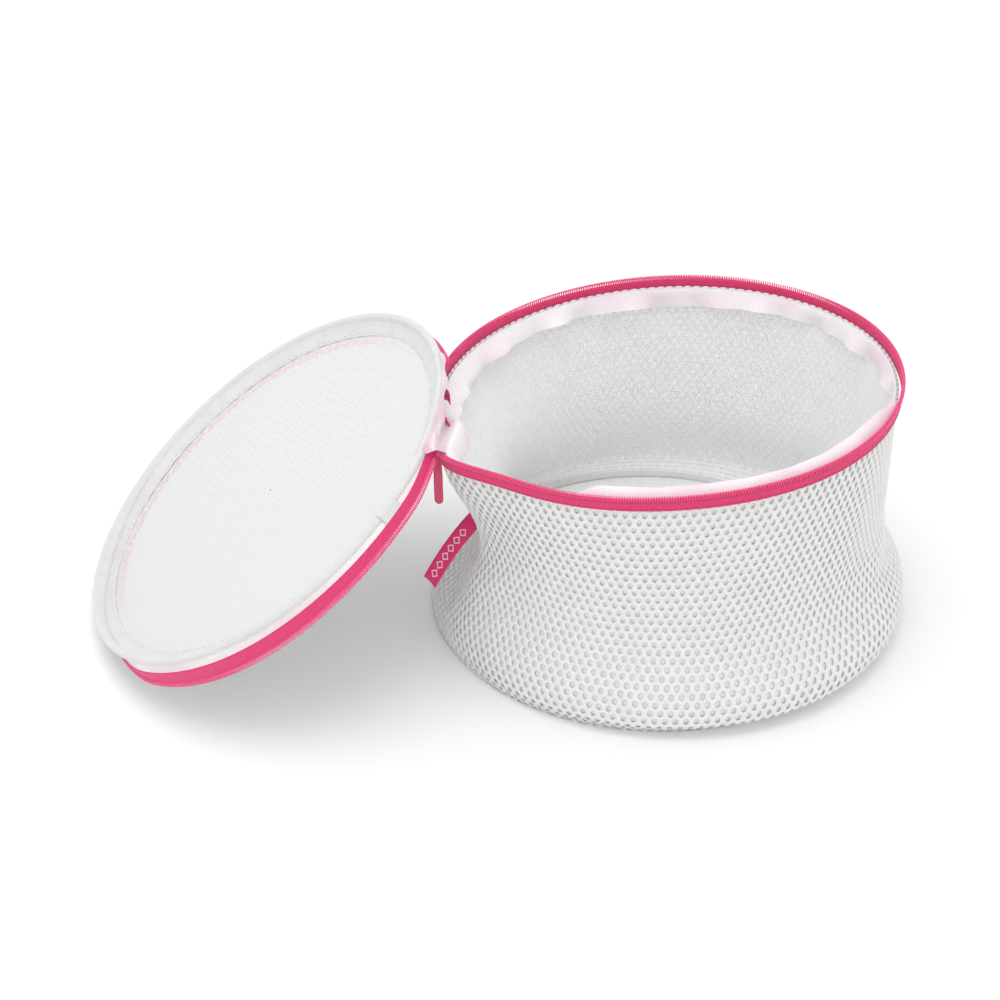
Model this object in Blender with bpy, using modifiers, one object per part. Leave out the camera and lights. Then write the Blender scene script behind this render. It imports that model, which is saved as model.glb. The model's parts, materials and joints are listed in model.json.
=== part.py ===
"""A round mesh wash bag with a zipped lid, standing with its lid swung open.

The bag is a soft mesh tube between a flat mesh base and a tilted rim. A zip runs round the rim.
The lid is a mesh disc on a wire hoop. Its half of the zip hangs from the hoop as a skirt, which
lies turned out on the open lid. Units are metres, +Z is up, and the origin is the base's centre.
"""

import math

import bpy
from mathutils import Matrix, Vector

# Rim and base
RIM_R = 0.1125  # both zip coils' radius
RIM_AT = (0.0037, -0.0045, 0.1311)
RIM_ROLL = math.radians(-4.0)  # about Y: the hinge side hangs lower
RIM_PITCH = math.radians(-3.4)  # about X: the front stands higher
BASE_R = 0.1125
BASE_T = 0.0015

# Wall
WALL_T = 0.0020
WALL_TOP_R = 0.1113
WALL_TOP_DROP = 0.0052  # below the rim plane
WALL_FOOT_Z = 0.0030
BULGE = 0.0080
BULGE_LEAN = 0.0075  # more bulge on the side away from the hinge, less towards it
BULGE_AT = 0.09  # share of the wall's height
BULGE_SPREAD = 0.17
HINGE_WAIST = 0.0270
HINGE_WAIST_AT = 0.45
FRONT_WAIST = 0.0030

# Hinge and lid
HINGE_AT = (-0.1048, -0.0045, 0.1362)
OPEN_ANGLE = math.radians(212.2)
LID_RISE = 0.0090  # the hoop's plane above the rim plane when shut
HOOP_R = 0.1086
HOOP_WIRE_R = 0.0012
CASING_BEND_R = 0.00175
CASING_T = 0.0005
BAND_IN_R = 0.0995
BAND_IN_Z = 0.0044
LID_MESH_T = 0.0012

# Zip
COIL_R = 0.0010  # the coil tube's own radius
COIL_OFF = 0.00115  # coil centre from the plane where the two coils meet
TAPE_T = 0.0006
TAPE_DROP = 0.0076
GAP = 0.0003
RIM_ZIP_FRONT = math.radians(190.5)  # the zip runs round from here to its back end
LID_ZIP_FRONT = math.radians(204.5)
ZIP_BACK = math.radians(534.0)
ZIP_INSET = math.radians(2.0)  # how far the coils stop short of the tapes' ends
SLIDER_TURN = math.radians(194.0)

PULL_LENGTH = 0.0420

# Side label
LABEL_W = 0.0082
LABEL_T = 0.0009

STEPS = 60  # segments in a full turn


def clear_scene():
    for ob in list(bpy.data.objects):
        bpy.data.objects.remove(ob, do_unlink=True)


def material(name, colour, rough, metal=0.0):
    mat = bpy.data.materials.new(name)
    mat.use_nodes = True
    shader = mat.node_tree.nodes["Principled BSDF"]
    shader.inputs["Base Color"].default_value = (*colour, 1.0)
    shader.inputs["Roughness"].default_value = rough
    shader.inputs["Metallic"].default_value = metal
    mat.diffuse_color = (*colour, 1.0)
    return mat


def make_materials():
    return {
        "mesh": material("white_mesh", (0.86, 0.87, 0.87), 0.75),
        "binding": material("white_binding", (0.88, 0.89, 0.88), 0.65),
        "facing": material("sheer_facing", (0.90, 0.80, 0.86), 0.70),
        "tape": material("pink_tape", (0.78, 0.03, 0.16), 0.70),
        "coil": material("pink_coil", (0.80, 0.05, 0.20), 0.40),
        "pull": material("pink_enamel", (0.76, 0.03, 0.14), 0.35),
        "thread": material("white_thread", (0.85, 0.82, 0.84), 0.60),
        "wire": material("hoop_wire", (0.60, 0.61, 0.62), 0.30, 1.0),
        "metal": material("stop_metal", (0.55, 0.55, 0.56), 0.35, 1.0),
    }


def add_frame(name, parent=None, at=(0, 0, 0), turn=(0, 0, 0)):
    """An empty that other parts are placed in."""
    empty = bpy.data.objects.new(name, None)
    bpy.context.scene.collection.objects.link(empty)
    empty.location = at
    empty.rotation_euler = turn
    empty.parent = parent
    return empty


def finish(ob, name, mat, parent, group):
    ob.name = name
    ob.data.name = name
    ob.data.materials.append(mat)
    ob.parent = parent
    group.objects.link(ob)
    return ob


def mesh_from(name, points, faces=(), edges=()):
    data = bpy.data.meshes.new(name)
    data.from_pydata([tuple(p) for p in points], list(edges), list(faces))
    return bpy.data.objects.new(name, data)


def turned_sheet(name, profile, thick, sweep=2 * math.pi, start=0.0):
    """A sheet turned about Z from (radius, height) points. Its thickness is centred on them."""
    points = [(r, 0.0, z) for r, z in profile]
    ob = mesh_from(name, points, edges=[(i, i + 1) for i in range(len(points) - 1)])
    ob.rotation_euler[2] = start
    steps = max(2, round(STEPS * sweep / (2 * math.pi)))
    turn = ob.modifiers.new("turn", "SCREW")
    turn.angle = sweep
    turn.steps = steps
    turn.render_steps = steps
    turn.use_merge_vertices = True
    turn.merge_threshold = 0.00001
    wall = ob.modifiers.new("thickness", "SOLIDIFY")
    wall.thickness = thick
    wall.offset = 0.0
    wall.use_even_offset = True
    return ob


def turned_solid(name, profile):
    """A closed ring or disc, from (radius, height) points that run down the outer side."""
    points = [(r, 0.0, z) for r, z in profile]
    closed = profile[0][0] > 0.0
    edges = [(i, i + 1) for i in range(len(points) - 1)]
    if closed:
        edges.append((len(points) - 1, 0))
    ob = mesh_from(name, points, edges=edges)
    turn = ob.modifiers.new("turn", "SCREW")
    turn.steps = STEPS
    turn.render_steps = STEPS
    turn.use_merge_vertices = True
    turn.merge_threshold = 0.00001
    return ob


def tube(name, points, radius, closed=False, resolution=1):
    """A round tube along points, with filled ends."""
    data = bpy.data.curves.new(name, "CURVE")
    data.dimensions = "3D"
    spline = data.splines.new("POLY")
    spline.points.add(len(points) - 1)
    for item, point in zip(spline.points, points):
        item.co = (*point, 1.0)
    spline.use_cyclic_u = closed
    data.bevel_depth = radius
    data.bevel_resolution = resolution
    data.use_fill_caps = True
    return bpy.data.objects.new(name, data)


def on_ring(radius, turn, height):
    return (radius * math.cos(turn), radius * math.sin(turn), height)


def arc(radius, height, start, end):
    """Points along a level arc, spaced like the turned parts."""
    count = max(2, round(STEPS * abs(end - start) / (2 * math.pi)))
    return [on_ring(radius, start + (end - start) * i / count, height) for i in range(count + 1)]


def ring(radius, height):
    return arc(radius, height, 0.0, 2 * math.pi)[:-1]


def box(name, size, at, edge):
    """A block with rounded edges. Its size is kept in the mesh, so the rounding is even."""
    bpy.ops.mesh.primitive_cube_add(size=1.0, location=at)
    ob = bpy.context.object
    ob.data.transform(Matrix.Diagonal((*size, 1.0)))
    for group in list(ob.users_collection):
        group.objects.unlink(ob)
    soft = ob.modifiers.new("rounding", "BEVEL")
    soft.width = edge
    soft.segments = 2
    ob.name = name
    return ob


# The wall's surface, which the wall, its facing and its label all follow


def rim_matrix():
    turn = Matrix.Rotation(RIM_ROLL, 4, "Y") @ Matrix.Rotation(RIM_PITCH, 4, "X")
    return Matrix.Translation(RIM_AT) @ turn


def lid_matrix():
    """The open lid's frame: the shut lid turned back about the hinge line."""
    hinge = Matrix.Translation(HINGE_AT)
    back = Matrix.Rotation(-OPEN_ANGLE, 4, "Y")
    rise = Matrix.Translation((0, 0, LID_RISE))
    return hinge @ back @ hinge.inverted() @ rim_matrix() @ rise


def bump(x, centre, spread):
    return math.exp(-(((x - centre) / spread) ** 2))


def turn_between(a, b):
    """The smaller angle between two turns."""
    return abs((a - b + math.pi) % (2 * math.pi) - math.pi)


def wall_push(turn, share):
    """How far the wall stands out (+) or pulls in (-) from the straight line base to rim."""
    belly = (BULGE + BULGE_LEAN * math.cos(turn)) * bump(share, BULGE_AT, BULGE_SPREAD)
    belly *= min(1.0, share / 0.05)
    low = math.log(0.5) / math.log(HINGE_WAIST_AT)
    hinge = HINGE_WAIST * bump(turn_between(turn, math.radians(168)), 0.0, math.radians(52))
    hinge *= math.sin(math.pi * share**low) ** 2
    front = FRONT_WAIST * bump(turn_between(turn, math.radians(-75)), 0.0, math.radians(50))
    front *= math.sin(math.pi * share) ** 2
    return belly - hinge - front


def wall_point(turn, share, inset=0.0):
    """A point of the wall: share runs from 0 at the foot to 1 at the rim."""
    foot_r = BASE_R - 0.0005
    foot = Vector((foot_r * math.cos(turn), foot_r * math.sin(turn), WALL_FOOT_Z))
    top_local = (WALL_TOP_R * math.cos(turn), WALL_TOP_R * math.sin(turn), -WALL_TOP_DROP)
    top = rim_matrix() @ Vector(top_local)
    out = Vector((math.cos(turn), math.sin(turn), 0.0))
    return foot.lerp(top, share) + out * (wall_push(turn, share) - inset)


def wall_sheet(name, shares, inset, thick):
    """A closed band of the wall's surface with a thickness centred on it."""
    points = []
    for share in shares:
        for i in range(STEPS):
            points.append(wall_point(2 * math.pi * i / STEPS, share, inset))
    faces = []
    for row in range(len(shares) - 1):
        for i in range(STEPS):
            j = (i + 1) % STEPS
            a = row * STEPS
            b = a + STEPS
            faces.append((a + i, a + j, b + j, b + i))
    ob = mesh_from(name, points, faces)
    wall = ob.modifiers.new("thickness", "SOLIDIFY")
    wall.thickness = thick
    wall.offset = 0.0
    wall.use_even_offset = True
    return ob


# Bag


def base_mesh():
    return turned_solid("base_mesh", [(0.0, BASE_T), (BASE_R, BASE_T), (BASE_R, 0.0), (0.0, 0.0)])


def base_binding():
    """The tape that binds the base seam on the inside."""
    inner = BASE_R - 0.0072
    outer = BASE_R - 0.0034
    low = BASE_T + GAP
    high = low + 0.0012
    return turned_solid("base_binding", [(inner, high), (outer, high), (outer, low), (inner, low)])


def wall_mesh():
    shares = [0.0, 0.05, 0.12, 0.22, 0.35, 0.50, 0.65, 0.80, 0.92, 1.0]
    return wall_sheet("wall_mesh", shares, WALL_T / 2, WALL_T)


def rim_facing():
    """The sheer strip that covers the wall's raw edge inside the rim."""
    shares = [0.905, 0.935, 0.968, 1.0]
    return wall_sheet("rim_facing", shares, WALL_T + 2 * GAP + 0.00025, 0.0005)


def rim_tape():
    top = -COIL_OFF - COIL_R - GAP
    profile = [(RIM_R, top), (RIM_R, -TAPE_DROP)]
    return turned_sheet("rim_tape", profile, TAPE_T, ZIP_BACK - RIM_ZIP_FRONT, RIM_ZIP_FRONT)


def coil_points(front, height):
    return arc(RIM_R, height, front + ZIP_INSET, ZIP_BACK - ZIP_INSET)


def rim_coil():
    return tube("rim_coil", coil_points(RIM_ZIP_FRONT, -COIL_OFF), COIL_R)


def rim_stitching():
    """The seam's thread round the outside of the rim tape."""
    inset = math.radians(0.8)
    points = arc(RIM_R + 0.0007, -0.0066, RIM_ZIP_FRONT + inset, ZIP_BACK - inset)
    return tube("rim_stitching", points, 0.00022, resolution=0)


def end_stop(name, turn):
    """A metal stop crimped at the end of the coil."""
    size = (0.0023, 0.0016, 0.0021)
    ob = box(name, size, (0, 0, 0), 0.0003)
    ob.matrix_basis = Matrix.Rotation(turn, 4, "Z") @ Matrix.Translation((RIM_R, 0, -COIL_OFF))
    return ob


def side_label():
    """A folded ribbon tag that hangs from the wall beside the hinge."""
    root = wall_point(math.radians(200), 0.63) + Vector((-0.0026, -0.0013, 0.0))
    tip = root + Vector((-0.0245, -0.0110, -0.0315))
    across = Vector((0.64, -0.65, -0.40)).normalized() * LABEL_W / 2
    bow = Vector((-0.0010, 0.0, 0.0012))
    count = 7
    points = []
    for i in range(count + 1):
        share = i / count
        middle = root.lerp(tip, share) + bow * math.sin(math.pi * share)
        points += [middle - across, middle + across]
    faces = [(2 * i, 2 * i + 1, 2 * i + 3, 2 * i + 2) for i in range(count)]
    ob = mesh_from("side_label", points, faces)
    wall = ob.modifiers.new("thickness", "SOLIDIFY")
    wall.thickness = LABEL_T
    wall.offset = 0.0
    return ob


def hinge_tab():
    """The fabric that joins the rim to the lid's hoop where the zip stops."""
    rim = rim_matrix()
    lid = lid_matrix()
    back = ZIP_BACK - 2 * math.pi + math.radians(0.7)
    rim_front = RIM_ZIP_FRONT - math.radians(0.7)
    lid_front = math.radians(192.0)
    columns = 9
    rows = 9
    points = []
    for i in range(columns):
        share = i / (columns - 1)
        rim_turn = back + (rim_front - back) * share
        lid_turn = back + (lid_front - back) * share
        low = rim @ Vector(on_ring(RIM_R, rim_turn, -0.0074))
        start = rim @ Vector(on_ring(RIM_R, rim_turn, -0.0006))
        lift = rim @ Vector(on_ring(RIM_R, rim_turn, 0.0044))
        reach = lid @ Vector(on_ring(0.1116, lid_turn, 0.0068))
        end = lid @ Vector(on_ring(0.1116, lid_turn, 0.0012))
        points.append(low)
        for k in range(rows):
            t = k / (rows - 1)
            near = start.lerp(lift, t).lerp(lift.lerp(reach, t), t)
            far = lift.lerp(reach, t).lerp(reach.lerp(end, t), t)
            points.append(near.lerp(far, t))
    high = rows + 1
    faces = []
    for i in range(columns - 1):
        for k in range(high - 1):
            a = i * high + k
            faces.append((a, a + 1, a + high + 1, a + high))
    ob = mesh_from("hinge_tab", points, faces)
    wall = ob.modifiers.new("thickness", "SOLIDIFY")
    wall.thickness = 0.0005
    wall.offset = 0.0
    return ob


# Lid, in the frame of its hoop: +Z is the side that faces up when it is shut


def lid_mesh():
    profile = [
        (0.0, 0.0050),
        (0.045, 0.0050),
        (0.0965, 0.0052),
        (BAND_IN_R, 0.0056),
        (0.1058, 0.0019),
    ]
    return turned_sheet("lid_mesh", profile, LID_MESH_T)


def casing_profile():
    """Round the wire from its inner top, then in along the flat band."""
    points = []
    for degrees in range(150, -151, -50):
        t = math.radians(degrees)
        points.append((HOOP_R + CASING_BEND_R * math.cos(t), CASING_BEND_R * math.sin(t)))
    points.append((BAND_IN_R, BAND_IN_Z))
    return points


def lid_casing():
    return turned_sheet("lid_casing", casing_profile(), CASING_T)


def lid_hoop():
    return tube("lid_hoop", arc(HOOP_R, 0.0, math.radians(5), math.radians(355)), HOOP_WIRE_R)


def hoop_joiner():
    """The plug that closes the wire hoop."""
    reach = math.radians(4.8)
    return tube("hoop_joiner", arc(HOOP_R, 0.0, -reach, reach), HOOP_WIRE_R)


def lid_stitching():
    return tube("lid_stitching", ring(0.1008, 0.0028), 0.00022, closed=True, resolution=0)


def lid_join_tab():
    """The short patch where the hoop casing's two ends overlap."""
    profile = [(0.1063, -0.0012), (0.1021, 0.0018)]
    return turned_sheet("lid_join_tab", profile, 0.0004, math.radians(6.0), math.radians(238))


def lid_facing():
    profile = [(0.11135, 0.0003), (0.11135, 0.0033)]
    return turned_sheet("lid_facing", profile, 0.0005, ZIP_BACK - LID_ZIP_FRONT, LID_ZIP_FRONT)


def lid_coil_height():
    return LID_RISE - COIL_OFF


def lid_tape():
    top = lid_coil_height() - COIL_R - GAP
    profile = [(RIM_R, top), (RIM_R, 0.0023)]
    return turned_sheet("lid_tape", profile, TAPE_T, ZIP_BACK - LID_ZIP_FRONT, LID_ZIP_FRONT)


def lid_coil():
    return tube("lid_coil", coil_points(LID_ZIP_FRONT, lid_coil_height()), COIL_R)


# Slider, in a frame on the rim's axis with +X pointing at the slider


def slider_front():
    return box("slider_front", (0.0010, 0.0080, 0.0056), (RIM_R + 0.0019, 0, 0), 0.0004)


def slider_back():
    return box("slider_back", (0.0009, 0.0076, 0.0052), (RIM_R - 0.0019, 0, 0), 0.00035)


def slider_bridge():
    """The arch on the slider's face that holds the pull."""
    foot = RIM_R + 0.00315
    points = [(foot, 0, -0.0019)]
    for k in range(5):
        t = math.pi * k / 4
        points.append((RIM_R + 0.0045 + 0.0007 * math.sin(t), 0, -0.0019 * math.cos(t)))
    points.append((foot, 0, 0.0019))
    return tube("slider_bridge", points, 0.0004, resolution=0)


def pull_outline(length, width):
    """The pull's outline, round at both ends and wider towards its tip."""
    top_r = 0.0018
    tip_r = width / 2
    points = []
    for k in range(7):
        t = math.pi * k / 6
        points.append((top_r * math.cos(t), 0.0004 + 0.35 * top_r * math.sin(t)))
    for k in range(9):
        t = math.pi + math.pi * k / 8
        points.append((tip_r * math.cos(t), -length + tip_r + tip_r * math.sin(t)))
    return points


def pull_tab():
    """The flat pull. Its top bar passes under the bridge, which is what it swings on."""
    data = bpy.data.curves.new("pull_tab", "CURVE")
    data.dimensions = "2D"
    data.fill_mode = "BOTH"
    data.extrude = 0.0006
    window = [(0.0010, -0.0007), (-0.0010, -0.0007), (-0.0010, -0.0052), (0.0010, -0.0052)]
    for outline in (pull_outline(PULL_LENGTH, 0.0046), window):
        spline = data.splines.new("POLY")
        spline.points.add(len(outline) - 1)
        for item, (x, y) in zip(spline.points, outline):
            item.co = (x, y, 0.0, 1.0)
        spline.use_cyclic_u = True
    return bpy.data.objects.new("pull_tab", data)


def hang_down(rim_frame_matrix, slider_matrix):
    """Turns the pull about its own bar from the rim's slope to straight down."""
    axes = (rim_frame_matrix @ slider_matrix).to_3x3()
    out = axes @ Vector((1, 0, 0))
    up = axes @ Vector((0, 0, 1))
    down = Vector((0, 0, -1))
    return math.atan2(down.dot(out), -down.dot(up))


def build():
    clear_scene()
    group = bpy.data.collections.new("mesh_wash_bag")
    bpy.context.scene.collection.children.link(group)
    mats = make_materials()

    rim = add_frame("rim_frame", None, RIM_AT, (RIM_PITCH, RIM_ROLL, 0))
    hinge = add_frame("lid_hinge", None, HINGE_AT, (0, -OPEN_ANGLE, 0))
    lid = add_frame("lid_frame", hinge)
    lid.matrix_local = Matrix.Translation(HINGE_AT).inverted() @ rim_matrix() @ Matrix.Translation(
        (0, 0, LID_RISE)
    )
    zip_frame = add_frame("lid_zip_frame", lid)
    slider = add_frame("slider_frame", rim, turn=(0, 0, SLIDER_TURN))
    swing = hang_down(rim_matrix(), Matrix.Rotation(SLIDER_TURN, 4, "Z"))
    pull = add_frame("pull_frame", slider, (RIM_R + 0.0037, 0, 0), (0, -swing, 0))

    finish(base_mesh(), "base_mesh", mats["mesh"], None, group)
    finish(base_binding(), "base_binding", mats["binding"], None, group)
    finish(wall_mesh(), "wall_mesh", mats["mesh"], None, group)
    finish(rim_facing(), "rim_facing", mats["facing"], None, group)
    finish(hinge_tab(), "hinge_tab", mats["facing"], None, group)
    finish(side_label(), "side_label", mats["tape"], None, group)

    finish(rim_tape(), "rim_tape", mats["tape"], rim, group)
    finish(rim_coil(), "rim_coil", mats["coil"], rim, group)
    finish(rim_stitching(), "rim_stitching", mats["thread"], rim, group)
    stop_in = math.radians(1.1)
    front_stop = end_stop("end_stop_front", RIM_ZIP_FRONT + stop_in)
    back_stop = end_stop("end_stop_back", ZIP_BACK - stop_in)
    finish(front_stop, "end_stop_front", mats["metal"], rim, group)
    finish(back_stop, "end_stop_back", mats["metal"], rim, group)

    finish(lid_mesh(), "lid_mesh", mats["mesh"], lid, group)
    finish(lid_casing(), "lid_casing", mats["binding"], lid, group)
    finish(lid_hoop(), "lid_hoop", mats["wire"], lid, group)
    finish(hoop_joiner(), "hoop_joiner", mats["metal"], lid, group)
    finish(lid_stitching(), "lid_stitching", mats["thread"], lid, group)
    finish(lid_join_tab(), "lid_join_tab", mats["binding"], lid, group)
    finish(lid_facing(), "lid_facing", mats["facing"], lid, group)
    finish(lid_tape(), "lid_tape", mats["tape"], lid, group)
    finish(lid_coil(), "lid_coil", mats["coil"], zip_frame, group)

    finish(slider_front(), "slider_front", mats["pull"], slider, group)
    finish(slider_back(), "slider_back", mats["pull"], slider, group)
    finish(slider_bridge(), "slider_bridge", mats["pull"], slider, group)
    tab = finish(pull_tab(), "pull_tab", mats["pull"], pull, group)
    tab.rotation_euler = (math.pi / 2, 0, math.pi / 2)


build()
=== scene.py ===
"""The looks of a round mesh wash bag, standing with its zipped lid swung open.

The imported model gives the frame: where the rim, the lid and the slider are and how they turn. The
knitted mesh, the zip's teeth and tape, the sheer facings and the stitching are made here around it.
Units are metres, +Z is up, and the origin is the centre of the base.
"""

import json
import math

import bpy
import numpy as np
from mathutils import Matrix, Vector


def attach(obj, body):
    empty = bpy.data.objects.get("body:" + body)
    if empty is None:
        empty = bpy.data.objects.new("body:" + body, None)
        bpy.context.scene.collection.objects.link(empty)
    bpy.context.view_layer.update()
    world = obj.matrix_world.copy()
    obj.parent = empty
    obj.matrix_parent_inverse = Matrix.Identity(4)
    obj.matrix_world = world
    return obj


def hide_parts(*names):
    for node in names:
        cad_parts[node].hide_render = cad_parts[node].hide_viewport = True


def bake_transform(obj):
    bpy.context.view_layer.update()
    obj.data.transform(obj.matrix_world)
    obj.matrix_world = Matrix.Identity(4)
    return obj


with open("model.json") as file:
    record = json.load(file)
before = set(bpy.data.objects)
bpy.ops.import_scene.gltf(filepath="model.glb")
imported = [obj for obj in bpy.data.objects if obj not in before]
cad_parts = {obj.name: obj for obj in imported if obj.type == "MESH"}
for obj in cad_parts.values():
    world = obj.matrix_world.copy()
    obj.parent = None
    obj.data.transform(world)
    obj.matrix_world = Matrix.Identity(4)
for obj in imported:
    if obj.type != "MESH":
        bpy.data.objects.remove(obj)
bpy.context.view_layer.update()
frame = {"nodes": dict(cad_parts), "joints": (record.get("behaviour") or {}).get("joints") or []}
JOINTS = {joint["name"]: joint for joint in frame["joints"]}
TURN = 2 * math.pi

# Rim, base and wall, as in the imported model
RIM_R = 0.1125
BASE_R = 0.1125
WALL_TOP_R = 0.1113
WALL_TOP_DROP = 0.0052
WALL_FOOT_Z = 0.0009  # the seam draws the mesh down beside the base, 2 mm below the solid wall's foot
BULGE = 0.0080
BULGE_LEAN = 0.0075
BULGE_AT = 0.09
BULGE_SPREAD = 0.17
HINGE_WAIST = 0.0270
HINGE_WAIST_AT = 0.45
FRONT_WAIST = 0.0030
LID_RISE = 0.0090
HOOP_R = 0.1086
BAND_IN_R = 0.0995
BAND_IN_Z = 0.0044

# The zip's ends, as turns about the rim's axis
RIM_ZIP_FRONT = math.radians(190.5)
LID_ZIP_FRONT = math.radians(207.5)
ZIP_BACK = math.radians(534.0)
TAPE_BACK = math.radians(549.0)  # where the rim tape's own end is tacked down inside the hinge
ZIP_INSET = math.radians(2.0)
FLARE = 0.0095  # how far the lid's pull draws the rim out beside the slider
FRONT_DRAW = 0.0040  # how far the front of the rim is drawn in

# Knitted mesh
CELL_W = 0.00474  # from hole to hole along a row
CELL_ROW = 0.00408  # from row to row
HOLE_W = 0.00112  # half widths of a hole
HOLE_H = 0.00168
STRAND_DEPTH = 0.0008
BACKING_PITCH = 0.00158

# Zip
TOOTH_PITCH = 0.00124
COIL_WIRE_R = 0.00033
COIL_MID = 0.0012  # below the plane where the two coils meet
COIL_HALF_H = 0.00125
COIL_HALF_W = 0.00060
TAPE_TOP = 0.0016
TAPE_EDGE = 0.0078
TAPE_T = 0.00045
PULL_LENGTH = 0.0420

# Cut sizes of the flat cloth and the ribbon.
WALL_CUT_H = 0.126
FACING_CUT_W = 0.0131
HINGE_CUT_W = 0.064
HINGE_CUT_H = 0.0244
LABEL_W = 0.0082
LABEL_LENGTH = 0.0414
LABEL_REPEAT = 0.0049  # from diamond to diamond
FOLD_RING_R = 0.0962  # middle of the pink ring on the lid's net


# Frames


def frame_at(origin, x_axis, z_axis):
    axes = Matrix((x_axis, z_axis.cross(x_axis), z_axis)).transposed().to_4x4()
    axes.translation = Vector(origin)
    return axes


def rim_matrix():
    run = JOINTS["slider_run"]
    up = Vector(run["axis"]).normalized()
    return frame_at(run["pos_m"], Vector((0, 1, 0)).cross(up).normalized(), up)


def lid_matrix():
    """The open lid's frame: the shut lid turned back about the hinge line. +Z is its outer side."""
    hinge = JOINTS["lid_open"]
    at = Matrix.Translation(hinge["pos_m"])
    back = Matrix.Rotation(-math.radians(hinge["range_deg"][1]), 4, Vector(hinge["axis"]))
    return at @ back @ at.inverted() @ rim_matrix() @ Matrix.Translation((0, 0, LID_RISE))


RIM = np.array(rim_matrix())
LID = np.array(lid_matrix())


def put(matrix, points):
    """Points of a frame as points of the model."""
    points = np.asarray(points, float)
    return points @ matrix[:3, :3].T + matrix[:3, 3]


def on_ring(turn, radius, height):
    """Points about a frame's own Z."""
    turn, radius, height = np.broadcast_arrays(turn, radius, height)
    return np.stack([radius * np.cos(turn), radius * np.sin(turn), height], -1)


# Mesh helpers


def mesh_object(name, points, faces, loop_uvs=None):
    """A smooth piece. Its faces are a list, so they needn't all have the same number of corners."""
    data = bpy.data.meshes.new(name)
    data.from_pydata(np.asarray(points, float).tolist(), [], faces)
    if loop_uvs is not None:
        layer = data.uv_layers.new(name="UVMap")
        layer.data.foreach_set("uv", np.asarray(loop_uvs, np.float32).ravel())
    data.polygons.foreach_set("use_smooth", np.full(len(data.polygons), True))
    data.update()
    ob = bpy.data.objects.new(name, data)
    bpy.context.scene.collection.objects.link(ob)
    return ob


def grid_sheet(name, points, u, v, wrap=False, flip=False):
    """A sheet from rows of points. u and v are its flat coordinates, one more column if it wraps."""
    rows, cols = points.shape[:2]
    spans = cols if wrap else cols - 1
    row, col = np.meshgrid(np.arange(rows - 1), np.arange(spans), indexing="ij")
    after = (col + 1) % cols
    corners = [(row, col, col), (row, after, col + 1), (row + 1, after, col + 1), (row + 1, col, col)]
    if flip:
        corners.reverse()
    faces = np.stack([r * cols + c for r, c, _ in corners], -1).reshape(-1, 4)
    uvs = np.stack([np.stack([u[r, k], v[r, k]], -1) for r, _, k in corners], -2)
    return mesh_object(name, points.reshape(-1, 3), faces.tolist(), uvs.reshape(-1, 2))


def thicken(ob, thickness):
    wall = ob.modifiers.new("thickness", "SOLIDIFY")
    wall.thickness = thickness
    wall.offset = 0.0
    return ob


def tube_faces(rings, sides):
    ring, side = np.meshgrid(np.arange(rings - 1), np.arange(sides), indexing="ij")
    after = ring + 1
    beside = (side + 1) % sides
    quads = [ring * sides + side, ring * sides + beside, after * sides + beside, after * sides + side]
    return np.stack(quads, -1).reshape(-1, 4)


def tube_points(path, radius, sides):
    """Rings of points round a path, carried along it without twist."""
    path = np.asarray(path, float)
    steps = np.diff(path, axis=0)
    along = np.concatenate([steps, steps[-1:]]) + np.concatenate([steps[:1], steps])
    along /= np.linalg.norm(along, axis=1)[:, None]
    side = np.cross(along[0], (0.31, 0.27, 0.91))
    sides_at = np.empty_like(path)
    for i, direction in enumerate(along):
        side = side - direction * side.dot(direction)
        side /= np.linalg.norm(side)
        sides_at[i] = side
    other = np.cross(along, sides_at)
    turns = np.arange(sides) * TURN / sides
    radii = np.broadcast_to(radius, len(path))[:, None, None]
    ring = np.cos(turns)[None, :, None] * sides_at[:, None] + np.sin(turns)[None, :, None] * other[:, None]
    return (path[:, None] + radii * ring).reshape(-1, 3)


def capped_faces(rings, sides):
    """The faces of a tube with both ends closed."""
    last = (rings - 1) * sides
    faces = tube_faces(rings, sides).tolist()
    faces.append(list(range(sides))[::-1])
    faces.append([last + i for i in range(sides)])
    return faces


def tube(name, path, radius, sides):
    return mesh_object(name, tube_points(path, radius, sides), capped_faces(len(path), sides))


def stitches(name, point_at, count, share, radius, rise):
    """A row of stitches. point_at(t, lift) gives the seam's line for t from 0 to 1."""
    steps = np.linspace(0, 1, 6)
    points = []
    faces = []
    sides = 6
    for i in range(count):
        t = (i + share * steps) / count
        lift = rise * np.sin(math.pi * steps)
        points.append(tube_points(point_at(t, lift), radius * (0.45 + 0.55 * np.sin(math.pi * steps)), sides))
        faces.append(tube_faces(len(steps), sides) + i * sides * len(steps))
    return mesh_object(name, np.concatenate(points), np.concatenate(faces).tolist())


def smooth_step(x, low, high):
    t = np.clip((x - low) / (high - low), 0, 1)
    return t * t * (3 - 2 * t)


def bump(x, centre, spread):
    return np.exp(-(((x - centre) / spread) ** 2))


def turn_from(turn, degrees):
    """Signed angle of a turn from a direction given in degrees."""
    return (turn - math.radians(degrees) + math.pi) % TURN - math.pi


# The wall's surface


def rim_flare(turn):
    """How far the rim is drawn out of round: out just in front of the hinge, and in at the front."""
    away = turn_from(turn, 204.5)
    drawn = FLARE * np.exp(-((away / np.where(away < 0, math.radians(6.2), math.radians(12.5))) ** 2))
    return drawn - FRONT_DRAW * bump(turn_from(turn, 268), 0.0, math.radians(34))


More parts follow.
